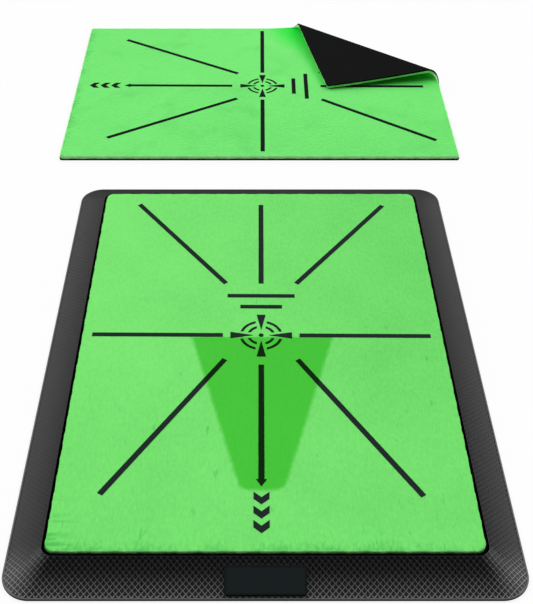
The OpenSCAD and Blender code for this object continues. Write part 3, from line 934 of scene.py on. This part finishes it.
def slab(half_w, half_l, radius, step, thickness, edge, waver=0.0):
    """A flat closed sheet on z = 0 as points and faces: round corners, a soft upper edge of
    width edge, and an outline that wavers in and out."""
    inner_w = half_w - edge - radius
    inner_l = half_l - edge - radius
    xs = stations(half_w - edge, radius, step)
    ys = stations(half_l - edge, radius, step)
    grid_x, grid_y = np.meshgrid(xs, ys, indexing="ij")
    a = np.clip((np.abs(grid_x) - inner_w) / radius, 0, 1)
    b = np.clip((np.abs(grid_y) - inner_l) / radius, 0, 1)
    round_a = a * np.sqrt(1 - b * b / 2)
    round_b = b * np.sqrt(1 - a * a / 2)
    plane_x = np.sign(grid_x) * (np.clip(np.abs(grid_x), 0, inner_w) + radius * round_a)
    plane_y = np.sign(grid_y) * (np.clip(np.abs(grid_y), 0, inner_l) + radius * round_b)
    nx, ny = len(xs), len(ys)
    index = np.arange(nx * ny).reshape(nx, ny)
    top = np.stack([plane_x, plane_y, np.full_like(plane_x, thickness)], -1).reshape(-1, 3)
    quads = np.stack([index[:-1, :-1], index[1:, :-1], index[1:, 1:], index[:-1, 1:]], -1).reshape(-1, 4)
    faces = quads.tolist() + (quads[:, ::-1] + nx * ny).tolist()

    rim = np.concatenate([index[:, 0], index[-1, 1:], index[-2::-1, -1], index[0, -2:0:-1]])
    side = np.sign(top[rim, :2])
    outward = np.column_stack([round_a.reshape(-1)[rim], round_b.reshape(-1)[rim]]) * side
    outward /= np.linalg.norm(outward, axis=1, keepdims=True)
    points = [top, top * [1, 1, 0]]
    loops = [rim]
    count = 2 * nx * ny
    profile = [(0.42, 1 - 0.06 * edge / thickness), (0.78, 1 - 0.24 * edge / thickness),
               (0.96, 1 - 0.55 * edge / thickness), (1.0, 1 - edge / thickness), (1.0, 0.0)]
    for out, height in profile:
        flat = top[rim, :2] + outward * edge * out
        points.append(np.column_stack([flat, np.full(len(rim), thickness * height)]))
        loops.append(np.arange(count, count + len(rim)))
        count += len(rim)
    loops.append(rim + nx * ny)
    for upper, lower in zip(loops, loops[1:]):
        faces += np.stack([upper, lower, np.roll(lower, -1), np.roll(upper, -1)], -1).tolist()

    points = np.concatenate(points)
    reach = 10 * MM
    for axis, half in ((0, half_w), (1, half_l)):
        along = points[:, 1 - axis]
        wave = np.sin(along * 310 + axis) * 0.5 + np.sin(along * 730 + 2) * 0.3
        wave = wave + np.sin(along * 1490) * 0.2
        near = np.clip(1 - (half - np.abs(points[:, axis])) / reach, 0, 1)
        points[:, axis] += np.sign(points[:, axis]) * near * (wave - 1) * waver
    return points, faces


def faced_mesh(name, points, faces, finish):
    """A smooth mesh in one material, whose faces point outwards."""
    mesh = bpy.data.meshes.new(name)
    mesh.from_pydata(np.asarray(points).tolist(), [], faces)
    made = bmesh.new()
    made.from_mesh(mesh)
    bpy.data.meshes.remove(mesh)
    mesh = to_mesh(made, name, sharp=math.radians(60))
    dress(mesh, finish)
    return mesh


def places(mesh):
    flat = np.empty(len(mesh.vertices) * 3)
    mesh.vertices.foreach_get("co", flat)
    return flat.reshape(-1, 3)


def keep_flat(mesh):
    """Keeps each point's place on the flat mat, for the pile's pattern."""
    kept = mesh.attributes.new("flat", "FLOAT_VECTOR", "POINT")
    kept.data.foreach_set("vector", places(mesh).ravel())


def move_points(mesh, points):
    mesh.vertices.foreach_set("co", np.asarray(points).ravel())
    mesh.update()


def in_tray(points):
    """From the flat mat, its pile's foot at z = 0, to the mat in the tray."""
    return points + [0, 0, PILE_FOOT]


class Fold:
    """Where the points of the flat mat go when its corner is folded over."""

    def __init__(self, fold):
        self.fold = fold
        self.size = math.hypot(fold.long, fold.wide)
        self.start = np.array([-MAT_W / 2, MAT_L / 2 - fold.long])
        self.along = np.array([fold.wide, fold.long]) / self.size
        self.out = np.array([-fold.long, fold.wide]) / self.size
        self.reach = fold.long * fold.wide / self.size
        tip = (np.array([fold.long ** 2 / self.size]), np.array([self.reach]))
        low, high = 0.0, 0.6
        for _ in range(30):
            self.dip = (low + high) / 2
            z, turn = self.section(*tip)[1:]
            if z[0] + PILE_T * math.cos(turn[0]) > PILE_T + fold.tip_gap:
                low = self.dip
            else:
                high = self.dip

    def section(self, u, s):
        """Place and slope of the face under the pile, u along the fold and s past it:
        an arc that lifts the mat, the roll, and the flap that levels out."""
        fold = self.fold
        radius = fold.radius_far + (fold.radius_near - fold.radius_far) * u / self.size
        roll_turn = math.pi + self.dip - fold.lift_angle
        roll = radius * roll_turn
        x = np.minimum(s, -fold.lift)
        z = np.zeros_like(s)
        turn = np.zeros_like(s)
        arcs = ((s + fold.lift, fold.lift, fold.lift_angle / fold.lift), (s, roll, 1 / radius),
                (s - roll, self.reach, -fold.settle / self.reach))
        for gone, whole, bend in arcs:
            gone = np.clip(gone, 0, whole)
            ended = turn + gone * bend
            x = x + (np.sin(ended) - np.sin(turn)) / bend
            z = z + (np.cos(turn) - np.cos(ended)) / bend
            turn = ended
        return x, z, turn

    def flap_side(self):
        """The direction in which the flap's edge runs over the flat mat, from the mat's far edge
        to the flap's tip, and the direction away from the flap."""
        u = self.fold.long ** 2 / self.size
        x = self.section(np.array([u]), np.array([self.reach]))[0]
        tip = u * self.along + x[0] * self.out
        tip = tip / np.linalg.norm(tip)
        return tip, np.array([tip[1], -tip[0]])

    def turned(self, points):
        """How far the mat is turned over at points of the flat mat."""
        plan = points[:, :2] - self.start
        return self.section(plan @ self.along, plan @ self.out)[2]

    def bend(self, points):
        """Folds points of the flat mat, their z counted from the face under the pile, and lays
        the mat on the floor beyond the tray."""
        plan = points[:, :2] - self.start
        u = plan @ self.along
        x, z, turn = self.section(u, plan @ self.out)
        x = x - points[:, 2] * np.sin(turn)
        z = z + points[:, 2] * np.cos(turn) + RUBBER_T
        flat = self.start + u[:, None] * self.along + x[:, None] * self.out
        return np.column_stack([flat[:, 1], SPARE_Y - flat[:, 0], z])


def mark_film(node, marking, fold=None):
    """A merged copy of a mark's flat CAD film on the flat mat, with a frayed outline, and cut
    into narrow faces where the mat bends."""
    made = bmesh.new()
    made.from_mesh(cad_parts[node].data)
    bmesh.ops.translate(made, verts=made.verts, vec=(0, 0, -PILE_FOOT))
    bmesh.ops.remove_doubles(made, verts=made.verts, dist=0.001 * MM)
    bmesh.ops.dissolve_limit(made, angle_limit=math.radians(1), verts=made.verts, edges=made.edges)
    for edge in list(made.edges):
        pieces = int(edge.calc_length() / marking.edge_step)
        if pieces > 1:
            bmesh.ops.bisect_edges(made, edges=[edge], cuts=pieces - 1)
    noise.seed_set(1)  # without a seed, noise_vector differs from run to run
    for vert in made.verts:
        place = Vector((vert.co.x, vert.co.y, 0)) / (1.3 * MM)
        stray = noise.noise_vector(place) * marking.fray
        vert.co.x += stray.x
        vert.co.y += stray.y
    if fold:
        farthest = max((np.array(v.co[:2]) - fold.start) @ fold.out for v in made.verts)
        for s in np.arange(-fold.fold.lift, farthest, marking.bend_step):
            spot = fold.start + fold.out * s
            bmesh.ops.bisect_plane(made, geom=made.verts[:] + made.edges[:] + made.faces[:],
                                   plane_co=(*spot, 0), plane_no=(*fold.out, 0))
    return to_mesh(made, node, sharp=math.radians(30))


def joined(meshes, name):
    """One object that holds copies of several meshes, for rays to meet."""
    made = bmesh.new()
    for mesh in meshes:
        made.from_mesh(mesh)
    whole = bpy.data.objects.new(name, to_mesh(made, name))
    bpy.context.collection.objects.link(whole)
    return whole


def keep_bend(mesh, fold):
    """Keeps how far each point is turned over, as a share of half a turn."""
    kept = mesh.attributes.new("bent", "FLOAT", "POINT")
    kept.data.foreach_set("value", fold.turned(places(mesh)) / math.pi)


def build_turf(scene, mat, corner, finish, ink, place, fold=None, seed=1):
    """The pile, its tufts and the printed marks of one mat, each put in place point by point."""
    pile = scene.hitting_pile
    marking = scene.hitting_print
    films = {mark: mark_film(f"mat_{mark}", marking, fold) for mark in MARKS}
    marks = joined(films.values(), "marks")
    points, faces = slab(MAT_W / 2, MAT_L / 2, corner, pile.step, PILE_T, pile.roll_off, pile.waver)
    base = faced_mesh(f"{mat}_velvet", points, faces, finish)
    tufts = pile_tufts(base.copy(), marks, pile, seed, bpy.data.materials[finish])
    bpy.data.objects.remove(marks)
    made = {}
    pieces = ((f"{mat}_velvet", base, [f"{mat}_turf"]), (f"{mat}_tufts", tufts, []))
    for name, mesh, stands_for in pieces:
        keep_flat(mesh)
        if fold:
            keep_bend(mesh, fold)
        move_points(mesh, place(places(mesh)))
        made[name] = add_piece(name, mesh, mat, stands_for)
    for number, (mark, film) in enumerate(films.items()):
        mesh = printed_mark(film, pile, marking, seed + 10 + number, bpy.data.materials[ink])
        keep_flat(mesh)
        move_points(mesh, place(places(mesh)))
        add_piece(f"{mat}_printed_{mark}", mesh, mat, [f"{mat}_{mark}"])
    return made[f"{mat}_velvet"], made[f"{mat}_tufts"]


def loop_strips(scene, mat, place):
    """The two loop strips let into a mat's underside."""
    fitting = scene.hitting_fittings
    height = LOOP_T - fitting.strip_base
    tape = bpy.data.materials["loop_nylon"]
    made = bmesh.new()
    for low, high in strip_boxes("mat_loop_strips"):
        base = block((low[0], low[1], high[2] - fitting.strip_base), high)
        made.from_mesh(strip_pile(base, (low, high), fitting, height, fitting.loop_sweep, tape,
                                  down=True))
    mesh = to_mesh(made, f"{mat}_loops")
    dress(mesh, "loop_nylon")
    move_points(mesh, place(places(mesh) - [0, 0, PILE_FOOT]))
    add_piece(f"{mat}_loops", mesh, mat, [f"{mat}_loop_strips"])


# ---------- operators ----------

UNDOABLE = {"REGISTER", "UNDO"}


class HITTINGMAT_OT_materials(bpy.types.Operator):
    """Build the materials of all the pieces, before the pieces themselves."""
    bl_idname = "hittingmat.materials"
    bl_label = "Materials"
    bl_options = UNDOABLE

    def execute(self, context):
        scene = context.scene
        tray = scene.hitting_tray
        pile = scene.hitting_pile
        marking = scene.hitting_print
        fitting = scene.hitting_fittings
        net_rubber("net_rubber", tray)
        rim_rubber("moulded_rubber", tray)
        # Painted shade: the recess's walls and floor get rubber painted four times darker, so the gap
        # round the mat reads black.
        dark_finish("recess_rubber", scaled(tray.rubber_colour, 0.25), 0.3, 0.9, Specular_IOR_Level=0.03)
        plate_finish("badge_slate", tray)
        dark_finish("rubber_backing", pile.backing_colour, 0.3, 0.9, grain=1100, Specular_IOR_Level=0.03)
        dark_finish("studded_rubber", fitting.grip_colour, 0.3, 0.7, grain=700)
        dark_finish("hook_nylon", fitting.hook_colour, 0.4, 0.5)
        dark_finish("loop_nylon", fitting.loop_colour, 0.4, 0.9)
        velvet("stroked_velvet", pile)
        velvet("fresh_velvet", pile, Fold(scene.hitting_fold))
        printed_pile("stroked_print", pile, marking, True)
        printed_pile("fresh_print", pile, marking, False)
        return {"FINISHED"}


class HITTINGMAT_OT_tray(bpy.types.Operator):
    """Build the moulded tray and the net of ridges on its bevel."""
    bl_idname = "hittingmat.tray"
    bl_label = "Tray"
    bl_options = UNDOABLE

    def execute(self, context):
        tray = context.scene.hitting_tray
        play = tray.play
        low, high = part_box("grip_sheet")
        cutters = [block((low[0] - play, low[1] - play, -MM),
                         (high[0] + play, high[1] + play, high[2]))]
        for low, high in strip_boxes("hook_strips"):
            cutters.append(block(low - [play, play, 0], high + [play, play, MM]))
        mesh = carve(tray_mesh(tray), cutters)
        dress(mesh, "moulded_rubber", "recess_rubber")
        # Faces inside the recess get the darker rubber, as painted shade.
        edge = tray.gap + tray.play
        wall = Vector((MAT_W / 2 + edge, MAT_L / 2 + edge, TRAY_H - 0.01 * MM))
        for face in mesh.polygons:
            inside = all(abs(face.center[i]) < wall[i] for i in range(3))
            face.material_index = int(inside and face.center.z > tray.lip)
        add_piece("tray_shell", mesh, "base", ["tray"])
        net = diamond_net(tray, bpy.data.materials["net_rubber"])
        add_piece("tray_net", net, "base")
        return {"FINISHED"}


class HITTINGMAT_OT_fittings(bpy.types.Operator):
    """Finish the badge and the mat's backing, and build the grip sheet and the hook strips."""
    bl_idname = "hittingmat.fittings"
    bl_label = "Badge, grip sheet and hook strips"
    bl_options = UNDOABLE

    def execute(self, context):
        fitting = context.scene.hitting_fittings
        for node, finish in (("badge_plate", "badge_slate"), ("mat_rubber", "rubber_backing")):
            dress(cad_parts[node].data, finish)

        low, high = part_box("grip_sheet")
        half_w, half_l = high[0], high[1]
        corner = fitting.sheet_corner
        sheet = to_mesh(loft([rounded_ring(half_w, half_l, corner, fitting.stud_height),
                              rounded_ring(half_w, half_l, corner, high[2])]), "grip_pad")
        rubber = bpy.data.materials["studded_rubber"]
        add_piece("grip_pad", studded_sheet(sheet, fitting, half_w, half_l, rubber),
                  "base", ["grip_sheet"])

        hooks = bpy.data.materials["hook_nylon"]
        made = bmesh.new()
        for low, high in strip_boxes("hook_strips"):
            height = high[2] - low[2] - fitting.strip_base
            base = block(low, (high[0], high[1], high[2] - height))
            made.from_mesh(strip_pile(base, (low, high), fitting, height, fitting.hook_sweep, hooks))
        mesh = to_mesh(made, "hook_rows")
        dress(mesh, "hook_nylon")
        add_piece("hook_rows", mesh, "base", ["hook_strips"])
        return {"FINISHED"}


class HITTINGMAT_OT_mat(bpy.types.Operator):
    """Build the hitting mat that lies in the tray."""
    bl_idname = "hittingmat.mat"
    bl_label = "Hitting mat"
    bl_options = UNDOABLE

    def execute(self, context):
        scene = context.scene
        pile = scene.hitting_pile
        turf, tufts = build_turf(scene, "mat", pile.corner, "stroked_velvet", "stroked_print", in_tray)
        loop_strips(scene, "mat", in_tray)
        return {"FINISHED"}


class HITTINGMAT_OT_spare(bpy.types.Operator):
    """Build the spare mat with its corner folded over."""
    bl_idname = "hittingmat.spare"
    bl_label = "Spare mat"
    bl_options = UNDOABLE

    def execute(self, context):
        scene = context.scene
        pile = scene.hitting_pile
        fold = Fold(scene.hitting_fold)
        points, faces = slab(MAT_W / 2, MAT_L / 2, pile.spare_corner, pile.step, RUBBER_T,
                             pile.backing_round)
        points = fold.bend(points - [0, 0, RUBBER_T])
        mesh = faced_mesh("spare_backing", points, faces, "rubber_backing")
        backing = add_piece("spare_backing", mesh, "spare", ["spare_rubber"])
        turf, tufts = build_turf(scene, "spare", pile.spare_corner, "fresh_velvet", "fresh_print",
                                 fold.bend, fold, seed=40)
        loop_strips(scene, "spare", fold.bend)
        return {"FINISHED"}


def floor_material():
    """A floor that the camera sees as white with a soft shadow, and the rubber's shine as dim grey."""
    material = bpy.data.materials.new("floor_white")
    material.use_nodes = True
    graph = Graph(material.node_tree)
    material.node_tree.nodes.clear()
    path = graph.outputs("ShaderNodeLightPath")
    seen = path["Is Camera Ray"].most(path["Is Transmission Ray"])
    plain, white, grey = [(tone, tone, tone, 1) for tone in (0.9, 1.0, 0.13)]
    paint = graph.node("ShaderNodeBsdfDiffuse", inputs={"Color": plain})
    glow = graph.node("ShaderNodeEmission", inputs={"Color": white, "Strength": 1.0})
    shine = graph.node("ShaderNodeEmission", inputs={"Color": grey, "Strength": 1.0})
    mixed = graph.node("ShaderNodeMixShader", inputs={0: seen * 0.85, 1: paint, 2: glow})
    mixed = graph.node("ShaderNodeMixShader", inputs={0: path["Is Glossy Ray"], 1: mixed, 2: shine})
    output = material.node_tree.nodes.new("ShaderNodeOutputMaterial")
    material.node_tree.links.new(mixed.socket, output.inputs["Surface"])
    return material


def studio_world(stage):
    """Soft light from the back and both sides, dim above and before the tray. The camera itself
    sees plain white behind the floor."""
    world = bpy.data.worlds.new("studio")
    world.use_nodes = True
    graph = Graph(world.node_tree)
    x, y, z = graph.parts(graph.node("ShaderNodeTexCoord", output="Generated"))
    beside = graph.smooth(abs(x), stage.sides_from, stage.sides_full)
    sides = beside * (1 - stage.middle) + stage.middle
    lit = graph.smooth(y, stage.front, stage.back) * graph.smooth(z, stage.low, stage.high) * sides
    background = world.node_tree.nodes["Background"]
    background.inputs["Color"].default_value = (1, 1, 1, 1)
    seen = graph.outputs("ShaderNodeLightPath")["Is Camera Ray"]
    strength = (lit * (stage.bright - stage.dim) + stage.dim).most(seen)
    world.node_tree.links.new(strength.socket, background.inputs["Strength"])
    return world


class HITTINGMAT_OT_stage(bpy.types.Operator):
    """Set up the floor, the light and the camera."""
    bl_idname = "hittingmat.stage"
    bl_label = "Stage"
    bl_options = UNDOABLE

    def execute(self, context):
        stage = context.scene.hitting_stage
        made = bmesh.new()
        bmesh.ops.create_grid(made, x_segments=1, y_segments=1, size=30)
        floor_mesh = to_mesh(made, "floor")
        floor_mesh.transform(Matrix.Translation((0, 0, -stage.floor_drop)))
        floor_mesh.materials.append(floor_material())
        floor = bpy.data.objects.new("floor", floor_mesh)
        context.collection.objects.link(floor)
        context.scene.world = studio_world(stage)

        data = bpy.data.cameras.new("camera")
        data.lens = stage.lens
        data.shift_x = stage.shift
        data.clip_start = 0.01
        camera = bpy.data.objects.new("camera", data)
        camera.location = (-stage.aside, -stage.before, stage.height)
        camera.rotation_euler = (math.pi / 2 - stage.pitch, 0, 0)
        context.collection.objects.link(camera)
        context.scene.camera = camera
        context.scene.view_settings.view_transform = "Standard"
        return {"FINISHED"}


class HITTINGMAT_PT_panel(bpy.types.Panel):
    """Lists the builders and their settings."""
    bl_idname = "HITTINGMAT_PT_panel"
    bl_label = "Hitting mat"
    bl_space_type = "VIEW_3D"
    bl_region_type = "UI"
    bl_category = "Hitting mat"

    def draw(self, context):
        for operator in OPERATORS:
            self.layout.operator(operator.bl_idname)
        for name, group in SETTINGS.items():
            box = self.layout.box()
            box.label(text=group.__doc__)
            for setting in group.__annotations__:
                box.prop(getattr(context.scene, name), setting)


SETTINGS = {"hitting_tray": TraySettings, "hitting_pile": PileSettings, "hitting_fold": FoldSettings,
            "hitting_print": PrintSettings, "hitting_fittings": FittingSettings,
            "hitting_stage": StageSettings}
OPERATORS = (HITTINGMAT_OT_stage, HITTINGMAT_OT_materials, HITTINGMAT_OT_tray, HITTINGMAT_OT_fittings,
             HITTINGMAT_OT_mat, HITTINGMAT_OT_spare)


def register():
    for cls in (*SETTINGS.values(), *OPERATORS, HITTINGMAT_PT_panel):
        bpy.utils.register_class(cls)
    for name, group in SETTINGS.items():
        setattr(bpy.types.Scene, name, bpy.props.PointerProperty(type=group))


def unregister():
    for name in SETTINGS:
        delattr(bpy.types.Scene, name)
    for cls in (HITTINGMAT_PT_panel, *reversed(OPERATORS), *SETTINGS.values()):
        bpy.utils.unregister_class(cls)


def plain(bounds):
    return [[float(v) for v in corner] for corner in bounds]


def main():
    register()
    bpy.ops.hittingmat.stage()
    bpy.ops.hittingmat.materials()
    bpy.ops.hittingmat.tray()
    bpy.ops.hittingmat.fittings()
    bpy.ops.hittingmat.mat()
    bpy.ops.hittingmat.spare()


if __name__ == "__main__":
    main()
